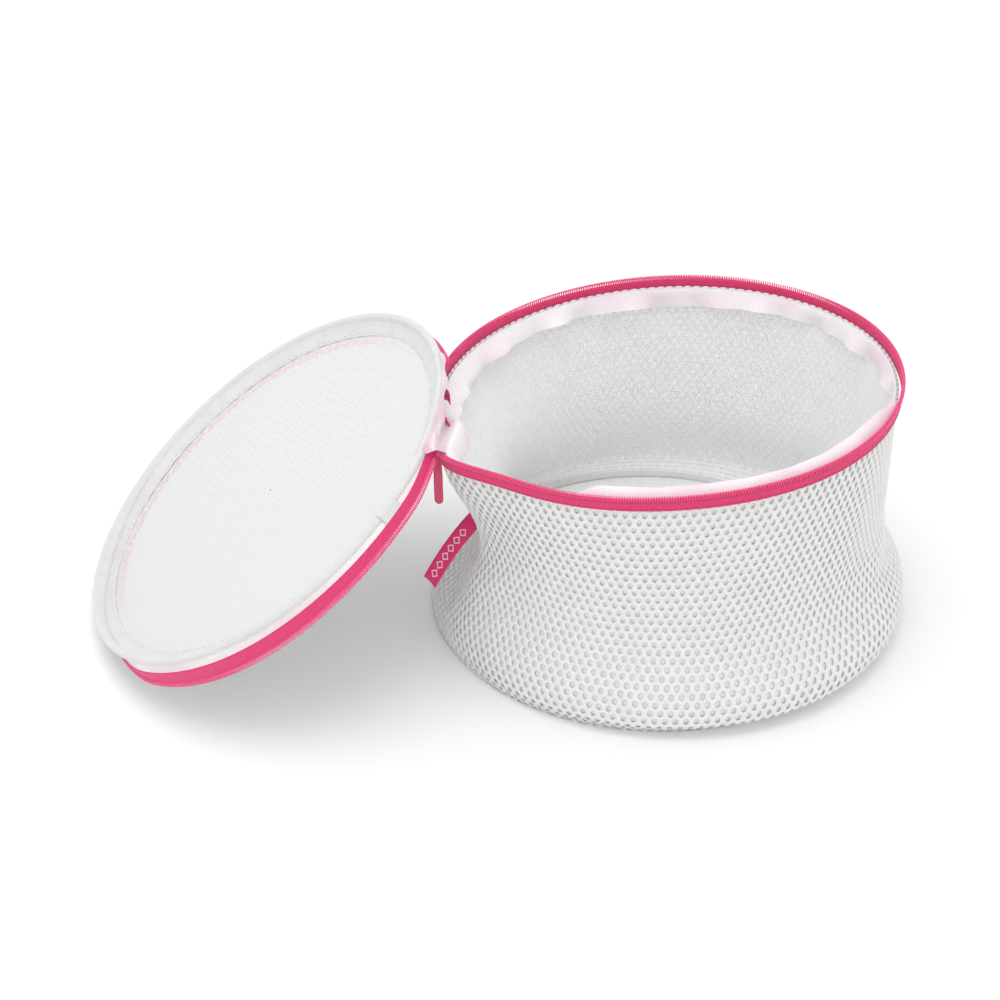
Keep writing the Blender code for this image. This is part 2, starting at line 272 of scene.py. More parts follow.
def wall_push(turn, share):
    """How far the wall stands out (+) or pulls in (-) from the straight line base to rim."""
    belly = (BULGE + BULGE_LEAN * np.cos(turn)) * bump(share, BULGE_AT, BULGE_SPREAD)
    belly = belly * np.minimum(1.0, share / 0.05)
    low = math.log(0.5) / np.log(HINGE_WAIST_AT + 0.10 * smooth_step(turn_from(turn, 180), 0.0, 0.56))
    hinge = HINGE_WAIST * bump(turn_from(turn, 168), 0.0, math.radians(52))
    hinge = hinge * np.sin(math.pi * np.clip(share, 0, 1) ** low) ** 2
    front = FRONT_WAIST * bump(turn_from(turn, -75), 0.0, math.radians(50))
    return belly - hinge - front * np.sin(math.pi * share) ** 2


def wall_folds(turn, share):
    """Soft creases where the slack fabric has buckled."""
    held = np.sin(math.pi * np.clip(share, 0, 1)) ** 0.7
    waves = 0.00045 * np.sin(5 * turn + 4.0 * share) + 0.0003 * np.sin(11 * turn - 7.0 * share + 1.3)
    hinge_fold = 0.0016 * bump(share, 0.42 + 0.35 * turn_from(turn, 214), 0.055)
    hinge_fold *= bump(turn_from(turn, 208), 0.0, math.radians(26))
    side_fold = 0.0013 * bump(share, 0.36 + 0.10 * np.sin(2 * turn_from(turn, -20)), 0.06)
    side_fold *= bump(turn_from(turn, -14), 0.0, math.radians(24))
    return held * waves + hinge_fold + side_fold


def wall_at(turn, share, inset):
    foot_r = BASE_R - 0.0005
    foot = on_ring(turn, foot_r, WALL_FOOT_Z)
    top = put(RIM, on_ring(turn, WALL_TOP_R + rim_flare(turn), -WALL_TOP_DROP))
    share = np.asarray(share)[..., None]
    push = wall_push(turn, share[..., 0]) + wall_folds(turn, share[..., 0]) - inset
    return foot * (1 - share) + top * share + on_ring(turn, push, 0.0)


# Knitted honeycomb


def honeycomb(centres):
    """Cells round holes, flat: points (u, v, depth) and quads. Neighbours share their edge points."""
    half, third = CELL_W / 2, CELL_ROW / 3
    quarter = [(half, 0), (half, third), (half / 2, 1.5 * third), (0, 2 * third)]
    left = [(-u, v) for u, v in quarter[2::-1]]
    below = [(-u, -v) for u, v in quarter[1:]] + [(u, -v) for u, v in quarter[2:0:-1]]
    edge = np.array(quarter + left + below)
    turns = np.arange(12) * TURN / 12
    hole = np.stack([HOLE_W * np.cos(turns), HOLE_H * np.sin(turns)], -1)
    edge_points = (centres[:, None] + edge[None]).reshape(-1, 2)
    keys, index = np.unique(np.round(edge_points / 1e-5).astype(int), axis=0, return_inverse=True)
    shared = len(keys)
    index = index.reshape(-1, 12)
    inner = (centres[:, None] + hole[None]).reshape(-1, 2)
    flat = np.concatenate([keys * 1e-5, inner, inner])
    depth = np.concatenate([
        np.zeros(shared),
        np.full(len(inner), 0.00028),
        np.full(len(inner), STRAND_DEPTH),
    ])
    first = shared + np.arange(len(inner)).reshape(-1, 12)
    second = first + len(inner)
    faces = []
    for a, b in ((index, first), (first, second)):
        faces.append(np.stack([a, np.roll(a, -1, 1), np.roll(b, -1, 1), b], -1).reshape(-1, 4))
    return flat, depth, np.concatenate(faces)


def band_centres(cols, rows):
    row, col = np.meshgrid(np.arange(rows), np.arange(cols), indexing="ij")
    u = (col + 0.5 * (row % 2)) * CELL_W
    return np.stack([u, (row + 0.5) * CELL_ROW], -1).reshape(-1, 2)


def disc_centres(radius):
    half = int(radius / CELL_ROW) + 2
    row, col = np.meshgrid(np.arange(-half, half + 1), np.arange(-half, half + 1), indexing="ij")
    centres = np.stack([(col + 0.5 * (row % 2)) * CELL_W, row * CELL_ROW], -1).reshape(-1, 2)
    return centres[np.hypot(*centres.T) < radius + 0.2 * CELL_W]


def disc_lattice(name, radius, place):
    """A round panel of mesh. place(x, y, depth) puts it in the model."""
    flat, depth, faces = honeycomb(disc_centres(radius))
    reach = np.maximum(np.hypot(*flat.T), 1e-9)
    flat = flat * np.minimum(1.0, radius / reach)[:, None]
    return mesh_object(name, place(flat[:, 0], flat[:, 1], depth), faces.tolist())


# Materials


class Look:
    """A material under construction: its nodes, its links and its shader."""

    def __init__(self, name, colour, rough, metal=0.0, sheen=0.0):
        self.material = bpy.data.materials.new(name)
        self.material.use_nodes = True
        self.tree = self.material.node_tree
        self.shader = self.tree.nodes["Principled BSDF"]
        self.set("Base Color", (*colour, 1.0))
        self.set("Roughness", rough)
        self.set("Metallic", metal)
        self.set("Sheen Weight", sheen)
        self.set("Sheen Roughness", 0.5)
        self.colour = colour

    def set(self, socket, value):
        self.shader.inputs[socket].default_value = value

    def node(self, kind, **values):
        made = self.tree.nodes.new(kind)
        for key, value in values.items():
            setattr(made, key, value)
        return made

    def link(self, output, target):
        self.tree.links.new(output, target)

    def maths(self, operation, a, b=0.0):
        made = self.node("ShaderNodeMath", operation=operation)
        for socket, value in zip(made.inputs, (a, b)):
            if isinstance(value, (int, float)):
                socket.default_value = value
            else:
                self.link(value, socket)
        return made.outputs[0]

    def vector(self, operation, a, b=(0, 0, 0)):
        made = self.node("ShaderNodeVectorMath", operation=operation)
        for socket, value in zip(made.inputs, (a, b)):
            if isinstance(value, tuple):
                socket.default_value = value
            else:
                self.link(value, socket)
        return made.outputs["Value" if operation in ("LENGTH", "DOT_PRODUCT") else "Vector"]

    def ramp(self, value, low, high, to_low=0.0, to_high=1.0):
        made = self.node("ShaderNodeMapRange", interpolation_type="SMOOTHSTEP")
        self.link(value, made.inputs["Value"])
        for socket, number in zip(list(made.inputs)[1:5], (low, high, to_low, to_high)):
            socket.default_value = number
        return made.outputs["Result"]

    def coords(self, kind):
        return self.node("ShaderNodeTexCoord").outputs[kind]

    def noise(self, scale, detail=3.0):
        made = self.node("ShaderNodeTexNoise")
        made.inputs["Scale"].default_value = scale
        made.inputs["Detail"].default_value = detail
        self.link(self.coords("Object"), made.inputs["Vector"])
        return made.outputs["Fac"]

    def wave(self, pitch, direction):
        """Ridges across a direction, from -1 to 1, one each pitch."""
        turned = self.vector("DOT_PRODUCT", self.coords("UV"), direction)
        return self.maths("SINE", self.maths("MULTIPLY", turned, TURN / pitch))

    def hole_distance(self, pitch):
        """Distance to the nearest hole of a hexagonal net, in pitches."""
        scaled = self.vector("MULTIPLY", self.coords("UV"), (1 / pitch, 1 / (pitch * math.sqrt(3)), 0))
        found = []
        for shift in (0.0, 0.5):
            cell = self.vector("FRACTION", self.vector("ADD", scaled, (shift, shift, 0.0)))
            centred = self.vector("SUBTRACT", cell, (0.5, 0.5, 0.0))
            found.append(self.vector("LENGTH", self.vector("MULTIPLY", centred, (1.0, math.sqrt(3), 0.0))))
        return self.maths("MINIMUM", *found)

    def tint(self, factor, other):
        """The base colour runs to another one as factor goes from 0 to 1."""
        mix = self.node("ShaderNodeMix", data_type="RGBA")
        mix.inputs["A"].default_value = (*self.colour, 1.0)
        mix.inputs["B"].default_value = (*other, 1.0)
        self.link(factor, mix.inputs["Factor"])
        self.link(mix.outputs["Result"], self.shader.inputs["Base Color"])

    def relief(self, height, distance, strength=1.0):
        made = self.node("ShaderNodeBump")
        made.inputs["Strength"].default_value = strength
        made.inputs["Distance"].default_value = distance
        self.link(height, made.inputs["Height"])
        self.link(made.outputs["Normal"], self.shader.inputs["Normal"])

    def alpha(self, value):
        self.link(value, self.shader.inputs["Alpha"])


def lattice_look():
    look = Look("knitted_strand", (0.83, 0.83, 0.825), 0.62, sheen=0.1)
    look.set("Subsurface Weight", 0.12)
    look.set("Subsurface Radius", (0.002, 0.002, 0.002))
    look.tint(look.ramp(look.noise(260.0), 0.35, 0.75), (0.77, 0.775, 0.77))
    loops = look.noise(2600.0, 2.0)
    look.relief(loops, 0.00025, 0.7)
    return look.material


def net_look(name, colour, density, height):
    """Fine net: threads round small holes."""
    look = Look(name, colour, 0.66, sheen=0.1)
    distance = look.hole_distance(BACKING_PITCH)
    threads = look.ramp(distance, 0.24, 0.40, 1.0 - density, 1.0)
    look.alpha(threads)
    look.tint(look.ramp(look.noise(240.0), 0.3, 0.8), tuple(0.94 * c for c in colour))
    look.relief(distance, height, 0.7)
    return look


def wall_net_look():
    # Painted light: this net is a brighter white than the strands and than the same net on the lid, to
    # lighten the bag's inside and the mesh's holes as light through the thin fabric would.
    return net_look("fine_net", (0.97, 0.975, 0.975), 0.22, 0.0003).material


def lid_net_look():
    """The lid's net, a darker white than the same net on the wall: painted shade that tones down the strongly
    lit lid. A faint pink ring inside the band stands for the folded zip showing through.
    """
    look = net_look("fine_lid_net", (0.74, 0.745, 0.745), 0.12, 0.00012)
    reach = look.vector("LENGTH", look.coords("UV"))
    off = look.maths("ABSOLUTE", look.maths("SUBTRACT", reach, FOLD_RING_R))
    ring = look.ramp(off, 0.0014, 0.0032, 1.0, 0.0)
    away = look.vector("DOT_PRODUCT", look.vector("NORMALIZE", look.coords("UV")), (0.42, 0.91, 0.0))
    side = look.maths("MULTIPLY", look.ramp(away, -0.1, 0.75), look.ramp(look.noise(520.0), 0.36, 0.58))
    look.tint(look.maths("MULTIPLY", look.maths("MULTIPLY", ring, side), 0.5), (0.80, 0.42, 0.44))
    return look.material


def tape_look():
    look = Look("zip_tape_twill", (0.84, 0.050, 0.200), 0.62, sheen=0.08)
    twill = look.wave(0.00062, (0.72, 0.69, 0.0))
    rib = look.wave(0.0016, (0.0, 1.0, 0.0))
    weave = look.maths("ADD", twill, look.maths("MULTIPLY", rib, 0.35))
    shade = look.maths("MULTIPLY", look.ramp(look.noise(900.0), 0.3, 0.8), 0.5)
    # Painted shade: the tint darkens the tape where the weave runs low, in the twill's grooves; the noise
    # term adds random mottling.
    look.tint(look.maths("ADD", shade, look.ramp(weave, -1.2, 1.0, 0.5, 0.0)), (0.68, 0.026, 0.130))
    look.relief(weave, 0.00008, 0.8)
    return look.material


def tooth_look():
    look = Look("nylon_tooth", (0.93, 0.105, 0.285), 0.34)
    look.set("Subsurface Weight", 0.10)
    look.set("Subsurface Radius", (0.001, 0.0004, 0.0006))
    look.tint(look.ramp(look.noise(700.0), 0.35, 0.8), (0.84, 0.070, 0.225))
    look.relief(look.noise(5000.0, 2.0), 0.00003, 0.4)
    return look.material


def thread_look(name, colour):
    look = Look(name, colour, 0.5, sheen=0.3)
    look.relief(look.noise(4200.0, 2.0), 0.00006, 0.6)
    look.tint(look.ramp(look.noise(900.0), 0.3, 0.8), tuple(0.86 * c for c in colour))
    return look.material


def binding_look():
    look = Look("woven_binding", (0.72, 0.725, 0.72), 0.6, sheen=0.1)
    look.set("Subsurface Weight", 0.15)
    look.set("Subsurface Radius", (0.002, 0.002, 0.002))
    rib = look.wave(0.0007, (1.0, 0.0, 0.0))
    across = look.wave(0.0005, (0.0, 1.0, 0.0))
    look.relief(look.maths("ADD", rib, across), 0.00005, 0.5)
    look.tint(look.ramp(look.noise(120.0), 0.3, 0.8), (0.68, 0.685, 0.68))
    return look.material


def sheer_look(name, colour, alpha, other):
    """Thin knitted strip that lets some light and colour through."""
    look = Look(name, colour, 0.55, sheen=0.1)
    grain = look.noise(1600.0, 2.0)
    look.alpha(look.ramp(grain, 0.3, 0.7, alpha - 0.06, alpha + 0.06))
    look.tint(look.ramp(look.noise(38.0, 1.0), 0.36, 0.72), other)
    look.relief(look.maths("ADD", grain, look.wave(0.0006, (0.0, 1.0, 0.0))), 0.00005, 0.5)
    return look.material


def enamel_look():
    look = Look("pink_enamel", (0.74, 0.030, 0.135), 0.30)
    look.set("Coat Weight", 0.4)
    look.set("Coat Roughness", 0.12)
    wear = look.ramp(look.noise(450.0, 4.0), 0.55, 0.75)
    look.tint(wear, (0.62, 0.022, 0.10))
    look.relief(look.noise(800.0), 0.00003, 0.5)
    return look.material


def metal_look():
    look = Look("crimped_metal", (0.58, 0.58, 0.60), 0.32, metal=1.0)
    look.tint(look.ramp(look.noise(700.0), 0.4, 0.7), (0.42, 0.42, 0.44))
    look.relief(look.noise(1500.0), 0.00004, 0.5)
    return look.material


def label_look():
    """Satin ribbon with a woven chain of small diamonds, plain at its folded end and its root."""
    look = Look("woven_label", (0.76, 0.018, 0.150), 0.42, sheen=0.08)
    parts = look.node("ShaderNodeSeparateXYZ")
    look.link(look.coords("UV"), parts.inputs[0])
    along = look.maths("FRACT", look.maths("MULTIPLY", parts.outputs["Y"], 1 / LABEL_REPEAT))
    along = look.maths("MULTIPLY", look.maths("ABSOLUTE", look.maths("SUBTRACT", along, 0.5)), LABEL_REPEAT)
    across = look.maths("ABSOLUTE", look.maths("SUBTRACT", parts.outputs["X"], LABEL_W / 2))
    reach = look.maths("ADD", along, across)
    outside = look.ramp(reach, 0.0014, 0.0016)
    line = look.maths("MULTIPLY", outside, look.ramp(reach, 0.0021, 0.0023, 1.0, 0.0))
    start = look.ramp(parts.outputs["Y"], 0.0097, 0.0099)
    stop = look.ramp(parts.outputs["Y"], 0.0391, 0.0393, 1.0, 0.0)
    look.tint(look.maths("MULTIPLY", line, look.maths("MULTIPLY", start, stop)), (0.86, 0.70, 0.78))
    satin = look.wave(0.00035, (0.0, 1.0, 0.0))
    look.relief(look.maths("ADD", satin, look.maths("MULTIPLY", line, 2.0)), 0.00004, 0.6)
    return look.material


def floor_look():
    look = Look("pale_floor", (0.96, 0.96, 0.96), 0.85)
    look.tint(look.ramp(look.noise(3.0), 0.3, 0.8), (0.95, 0.95, 0.95))
    return look.material


LOOKS = {
    "lattice": lattice_look(),
    "backing": wall_net_look(),
    "lid_backing": lid_net_look(),
    "tape": tape_look(),
    "tooth": tooth_look(),
    "white_thread": thread_look("white_thread", (0.90, 0.88, 0.89)),
    "pink_thread": thread_look("pink_thread", (0.60, 0.018, 0.10)),
    "binding": binding_look(),
    "facing": sheer_look("sheer_facing", (0.94, 0.90, 0.92), 0.86, (0.92, 0.76, 0.835)),
    "skirt": sheer_look("sheer_skirt", (0.93, 0.87, 0.89), 0.84, (0.90, 0.76, 0.80)),
    "hinge": sheer_look("sheer_hinge", (0.93, 0.82, 0.88), 0.80, (0.87, 0.54, 0.68)),
    "enamel": enamel_look(),
    "metal": metal_look(),
    "label": label_look(),
    "floor": floor_look(),
}


def dress(ob, look, slot, *nodes):
    """Gives a piece its material and hides the imported parts it stands in for."""
    ob.data.materials.clear()
    ob.data.materials.append(LOOKS[look])
    if nodes:
        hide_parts(*nodes)
    return ob


# Bag


def wall_lattice():
    cols = round(TURN * RIM_R / CELL_W)
    rows = 31
    flat, depth, faces = honeycomb(band_centres(cols, rows))
    turn = flat[:, 0] / (cols * CELL_W) * TURN
    share = np.clip(flat[:, 1] / (rows * CELL_ROW), 0, 1)
    points = wall_at(turn, share, depth)
    halves = []
    middle = points[faces].mean(1)
    front = middle[:, 1] < 0
    for name, chosen in (("wall_lattice_front", front), ("wall_lattice_back", ~front)):
        used, index = np.unique(faces[chosen], return_inverse=True)
        halves.append(mesh_object(name, points[used], index.reshape(-1, 4).tolist()))
    return halves


def wall_backing():
    turns = np.linspace(0, TURN, 361)
    shares = np.linspace(0, 1, 61)
    turn, share = np.meshgrid(turns, shares)
    points = wall_at(turn, share, 0.0014)[:, :-1]
    return grid_sheet("wall_backing", points, turn * RIM_R, share * WALL_CUT_H, wrap=True)


def base_place(x, y, depth):
    return np.stack([x, y, 0.0001 + depth], -1)


def base_backing():
    turns = np.linspace(0, TURN, 181)
    radii = np.linspace(0.0005, BASE_R - 0.001, 40)
    turn, radius = np.meshgrid(turns, radii)
    dish = 0.0014 + 0.0002 * np.sin(3 * turn + 40 * radius)
    points = on_ring(turn, radius, dish)
    return grid_sheet("base_backing", points[:, :-1], points[..., 0], points[..., 1], wrap=True, flip=True)


def rim_tape():
    """The tape under the rim's teeth. Its front end dips under the slider, its back end climbs the hinge."""
    turn, depth = np.meshgrid(np.linspace(RIM_ZIP_FRONT, TAPE_BACK, 500), np.linspace(0, 1, 9))
    head = 1 - smooth_step(turn, RIM_ZIP_FRONT, RIM_ZIP_FRONT + 0.08)
    tail = smooth_step(turn, ZIP_BACK - 0.06, TAPE_BACK)
    radius = RIM_R + rim_flare(turn) - 0.0058 * np.sqrt(tail)
    height = -TAPE_TOP - (TAPE_EDGE - TAPE_TOP) * depth + 0.0130 * tail - 0.0050 * head
    return grid_sheet("rim_tape_band", put(RIM, on_ring(turn, radius, height)), turn * RIM_R, height)


def coil_path(radius, mid, half_h, start, end, flare=0.0):
    """A flattened helix. Its outer legs lean along the zip and its inner legs run straight back."""
    per_tooth = 12
    teeth = int((end - start) * RIM_R / TOOTH_PITCH)
    step = np.arange(teeth * per_tooth + 1) / per_tooth
    angle = TURN * (step % 1.0)
    lean = np.where(angle < math.pi, 0.80 * angle / math.pi, 0.80 + 0.20 * (angle - math.pi) / math.pi)
    turn = start + (np.floor(step) + lean) * TOOTH_PITCH / RIM_R
    height = mid + half_h * np.cos(angle)
    return on_ring(turn, radius + COIL_HALF_W * np.sin(angle) + flare * rim_flare(turn), height)


def facing_roll(turn):
    """Where the facing stands up over the rim and rolls in, from 0 to 1: beside the slider and in front."""
    beside = bump(turn_from(turn, 195.5), 0.0, math.radians(9.5))
    front = smooth_step(turn_from(turn, 236), 0.0, 0.22) * (1 - smooth_step(turn_from(turn, 330), 0.0, 0.35))
    return np.clip(beside + 0.9 * front, 0, 1)


def rim_facing():
    """The sheer strip inside the rim, slack along its free edge."""
    turn, depth = np.meshgrid(np.linspace(0, TURN, 721), np.linspace(0, 1, 24))
    roll = facing_roll(turn)
    wide = 0.0008 * bump(turn_from(turn, 8), 0.0, math.radians(48)) + 0.0006 * np.sin(5 * turn + 0.6)
    slack = 0.0011 * np.sin(13 * turn + 2 * np.sin(3 * turn)) + 0.0006 * np.sin(31 * turn + 1.0)
    waist = 0.0036 * bump(turn_from(turn, 168), 0.0, math.radians(46))
    stops = (
        (0.0022 - 0.0010 * roll, -0.0060 + 0.0020 * roll),
        (0.0034 + 0.0008 * roll, -0.0070 + 0.0100 * roll),
        (0.0042 + 0.0048 * roll, -0.0085 + 0.0145 * roll),
        (0.0052 + waist + 0.0060 * roll + 0.8 * slack, -0.0112 + 0.0088 * roll),
        (0.0060 + waist + 0.0052 * roll + 1.6 * slack, -0.0142 - wide + 0.0028 * roll + 0.5 * slack),
    )
    inset, height = (
        sum(math.comb(4, i) * depth**i * (1 - depth) ** (4 - i) * stop[k] for i, stop in enumerate(stops))
        for k in range(2)
    )
    points = put(RIM, on_ring(turn, RIM_R + rim_flare(turn) - inset, height))
    across = depth * FACING_CUT_W
    return grid_sheet("rim_facing_strip", points[:, :-1], turn * RIM_R, across, wrap=True, flip=True)


def hinge_cloth():
    """The sheer fabric from the rim up to the hinge line and over to the lid's hoop."""
    hinge = np.array(JOINTS["lid_open"]["pos_m"])
    back = ZIP_BACK - TURN - math.radians(1.0)
    cols = np.linspace(0, 1, 61)
    rim_turn = back + (math.radians(206.5) - back) * cols
    lid_turn = back + (LID_ZIP_FRONT + math.radians(3.0) - back) * cols
    roll = facing_roll(rim_turn)
    rim_r = RIM_R + rim_flare(rim_turn)
    low = put(RIM, on_ring(rim_turn, rim_r - 0.0012 - 0.0048 * roll, -0.0105 + 0.0125 * roll))
    edge = put(RIM, on_ring(rim_turn, rim_r - 0.0006, 0.0004))
    lid_edge = put(LID, on_ring(lid_turn, HOOP_R + 0.0026, 0.0016))
    lid_in = put(LID, on_ring(lid_turn, HOOP_R + 0.0021, -0.0016))
    fold = edge * 0.5 + lid_edge * 0.5
    drawn = smooth_step(rim_flare(rim_turn), 0.0, 0.8 * FLARE)
    fold[:, 0] = hinge[0] + (fold[:, 0] - hinge[0]) * drawn
    fold[:, 2] = hinge[2] + (fold[:, 2] + 0.0020 - hinge[2]) * drawn
    rows = []
    for a, b in ((low, edge), (edge, fold), (fold, lid_edge), (lid_edge, lid_in)):
        for t in np.arange(8) / 8:
            rows.append(a * (1 - t) + b * t)
    rows.append(lid_in)
    points = np.stack(rows)
    across = np.linspace(-1, 1, len(rows))
    slack = np.sin(math.pi * (across + 1) / 2) * np.abs(across)
    points[..., 0] += 0.0016 * slack[:, None] * np.sin(7 * cols * math.pi + 0.5)
    u = np.tile(cols * HINGE_CUT_W, (len(rows), 1))
    v = np.tile(np.linspace(0, HINGE_CUT_H, len(rows))[:, None], (1, len(cols)))
    return grid_sheet("hinge_cloth", points, u, v)


def side_label():
    """The ribbon folded in two, made as one strip as thick as both layers."""
    root = wall_at(math.radians(200), np.array(0.63), 0.001) + np.array((0.0004, -0.0008, 0.0006))
    tip = root + np.array((-0.0245, -0.0110, -0.0315))
    across = np.array((0.64, -0.65, -0.40))
    across /= np.linalg.norm(across)
    bow = np.array((-0.0010, 0.0, 0.0012))
    length = np.linspace(0, 1, 40)
    path = root + (tip - root) * length[:, None] + bow * np.sin(math.pi * length)[:, None]
    sides = np.linspace(-0.5, 0.5, 9)
    curl = np.array((0.55, 0.25, 0.45)) * 0.0006
    points = path[:, None] + across * LABEL_W * sides[None, :, None]
    points = points + curl * (1 - 4 * sides[None, :, None] ** 2)
    u = np.tile((sides + 0.5) * LABEL_W, (len(length), 1))
    v = np.tile(length[:, None] * LABEL_LENGTH, (1, len(sides)))
    ob = grid_sheet("side_label_ribbon", points, u, v)
    return thicken(ob, 0.0008)


# Lid


def lid_place(x, y, depth):
    """The lid's outer face. Depth runs in towards the bag."""
    reach = np.hypot(x, y)
    height = 0.0062 - depth - 0.0024 * smooth_step(reach, 0.098, 0.1075)
    height = height + 0.0004 * np.sin(60 * x + 1.0) * np.cos(50 * y)
    return put(LID, np.stack([x, y, height], -1))


def lid_backing():
    turns = np.linspace(0, TURN, 241)
    radii = np.linspace(0.0004, 0.1062, 60)
    turn, radius = np.meshgrid(turns, radii)
    height = 0.0046 - 0.0024 * smooth_step(radius, 0.098, 0.1065)
    x, y = radius * np.cos(turn), radius * np.sin(turn)
    height = height + 0.0004 * np.sin(60 * x + 1.0) * np.cos(50 * y)
    points = put(LID, np.stack([x, y, height], -1))
    return grid_sheet("lid_backing", points[:, :-1], x, y, wrap=True)


def lid_casing():
    """Binding round the wire: a tube with a pinched seam, then a flat band down to the mesh."""
    angles = np.radians(np.linspace(165, -150, 22))
    radius = list(HOOP_R + 0.00195 * np.cos(angles))
    height = list(0.00195 * np.sin(angles))
    pinch = np.linspace(0, 1, 12)
    radius += list(0.1066 + (BAND_IN_R - 0.1066) * pinch)
    height += list(-0.0004 + (BAND_IN_Z - 0.0006 + 0.0004) * pinch + 0.0006 * np.sin(math.pi * pinch))
    radius += [BAND_IN_R - 0.0001, BAND_IN_R + 0.0004]
    height += [BAND_IN_Z - 0.0001, BAND_IN_Z]
    radius, height = np.array(radius), np.array(height)
    turns = np.linspace(0, TURN, 361)
    turn, row = np.meshgrid(turns, np.arange(len(radius)))
    pucker = 0.00018 * np.sin(61 * turn + 2 * np.sin(3 * turn)) * smooth_step(row, 20, 28)
    points = put(LID, on_ring(turn, radius[row], height[row] + pucker))
    lengths = np.concatenate([[0], np.cumsum(np.hypot(np.diff(radius), np.diff(height)))])
    return grid_sheet("lid_hoop_casing", points[:, :-1], turn * HOOP_R, lengths[row], wrap=True, flip=True)


def lid_join_patch():
    """Where the binding's two ends overlap: a second layer from the band over the hoop to the skirt."""
    profile = np.array((
        (0.1030, 0.0018),
        (0.1064, -0.0009),
        (0.1086, -0.00235),
        (0.1103, -0.0017),
        (0.1110, 0.0),
        (0.1113, 0.0012),
        (0.1125, 0.0044),
    ))
    along = np.concatenate([[0], np.cumsum(np.hypot(*np.diff(profile, axis=0).T))])
    turn, depth = np.meshgrid(np.radians(np.linspace(225.5, 231.5, 25)), np.linspace(0, along[-1], 25))
    frayed = depth + 0.0005 * np.sin(300 * turn) * smooth_step(depth, 0.6 * along[-1], along[-1])
    radius, height = (np.interp(frayed, along, profile[:, k]) for k in range(2))
    return grid_sheet("lid_join_patch", put(LID, on_ring(turn, radius, height)), turn * HOOP_R, depth)


def zip_tuck(turn):
    """How far the open lid's zip lies in under the hoop. It shows along the front and is tucked elsewhere."""
    shown = smooth_step(turn, LID_ZIP_FRONT, math.radians(224)) * (1 - smooth_step(turn, 5.45, 5.85))
    return 0.0036 * (1 - shown) + 0.0045 * bump(turn, TURN + 0.2, 0.5)


def zip_hang(turn):
    """How much further the lid's zip hangs from the hoop along the front."""
    return 0.0048 * bump(turn, math.radians(290), math.radians(46)) - 0.0030 * bump(turn, TURN + 0.2, 0.5)


def lid_strip(name, radius, near, far, near_hang, far_hang, gather=0.0):
    """A strip of the lid's zip, from near to far below the hoop's plane."""
    turn, depth = np.meshgrid(np.linspace(LID_ZIP_FRONT, ZIP_BACK, 500), np.linspace(0, 1, 9))
    hang = (near_hang + (far_hang - near_hang) * depth) * zip_hang(turn)
    height = near + (far - near) * depth
    covers = gather * depth * bump(turn, TURN, 0.55)
    out = radius - zip_tuck(turn) - gather * (1 - depth) + 0.9 * covers
    points = put(LID, on_ring(turn, out, height + hang + 1.6 * covers))
    return grid_sheet(name, points, turn * radius, height)


def lid_skirt():
    """The sheer strip that hangs the lid's tape from the hoop."""
    return lid_strip("lid_skirt", 0.1119, -0.0004, 0.0042, 0.0, 0.6, 0.0022)


def lid_tape():
    return lid_strip("lid_tape_band", RIM_R + 0.0002, 0.0024, LID_RISE - TAPE_TOP, 0.3, 1.0)


def lid_coil_path():
    start, end = LID_ZIP_FRONT + ZIP_INSET, ZIP_BACK - ZIP_INSET
    path = coil_path(RIM_R + 0.0009, LID_RISE - COIL_MID, -COIL_HALF_H, start, end)
    turn = np.linspace(start, end, len(path))
    reach = np.hypot(path[:, 0], path[:, 1])
    path[:, :2] *= (1 - zip_tuck(turn) / reach)[:, None]
    path[:, 2] += zip_hang(turn)
    return put(LID, path)


def make_wall():
    lattice = wall_lattice()
    dress(lattice[0], "lattice", "white_mesh", "wall_mesh")
    dress(lattice[1], "lattice", "white_mesh")
    for piece in lattice:
        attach(piece, "root")
    backing = dress(wall_backing(), "backing", "white_mesh")
    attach(backing, "root")


def make_base():
    under = disc_lattice("base_lattice", BASE_R - 0.0004, base_place)
    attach(dress(under, "lattice", "white_mesh", "base_mesh"), "root")
    bottom = dress(base_backing(), "backing", "white_mesh")
    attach(bottom, "root")
    frame["nodes"]["base_binding"].data.materials.clear()
    frame["nodes"]["base_binding"].data.materials.append(LOOKS["binding"])


def make_rim():
    facing = dress(rim_facing(), "facing", "sheer_facing", "rim_facing")
    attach(facing, "root")
    tape = thicken(dress(rim_tape(), "tape", "pink_tape", "rim_tape"), TAPE_T)
    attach(tape, "root")
    start, end = RIM_ZIP_FRONT + ZIP_INSET, ZIP_BACK - ZIP_INSET
    path = coil_path(RIM_R + 0.0009, -COIL_MID, COIL_HALF_H, start, end, 1.0)
    coil = tube("rim_coil_teeth", put(RIM, path), COIL_WIRE_R, sides=6)
    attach(dress(coil, "tooth", "pink_coil", "rim_coil"), "root")


def make_hinge_and_label():
    cloth = dress(hinge_cloth(), "hinge", "sheer_facing", "hinge_tab")
    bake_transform(cloth)
    label = dress(side_label(), "label", "pink_tape", "side_label")
    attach(label, "root")


def seam_line(matrix, radius, height, start, end, out=1.0, drop=0.0, flare=0.0):
    """Where a row of stitches runs, for stitches()."""

    def at(t, lift):
        turn = start + (end - start) * t
        return put(matrix, on_ring(turn, radius + out * lift + flare * rim_flare(turn), height + drop * lift))

    return at


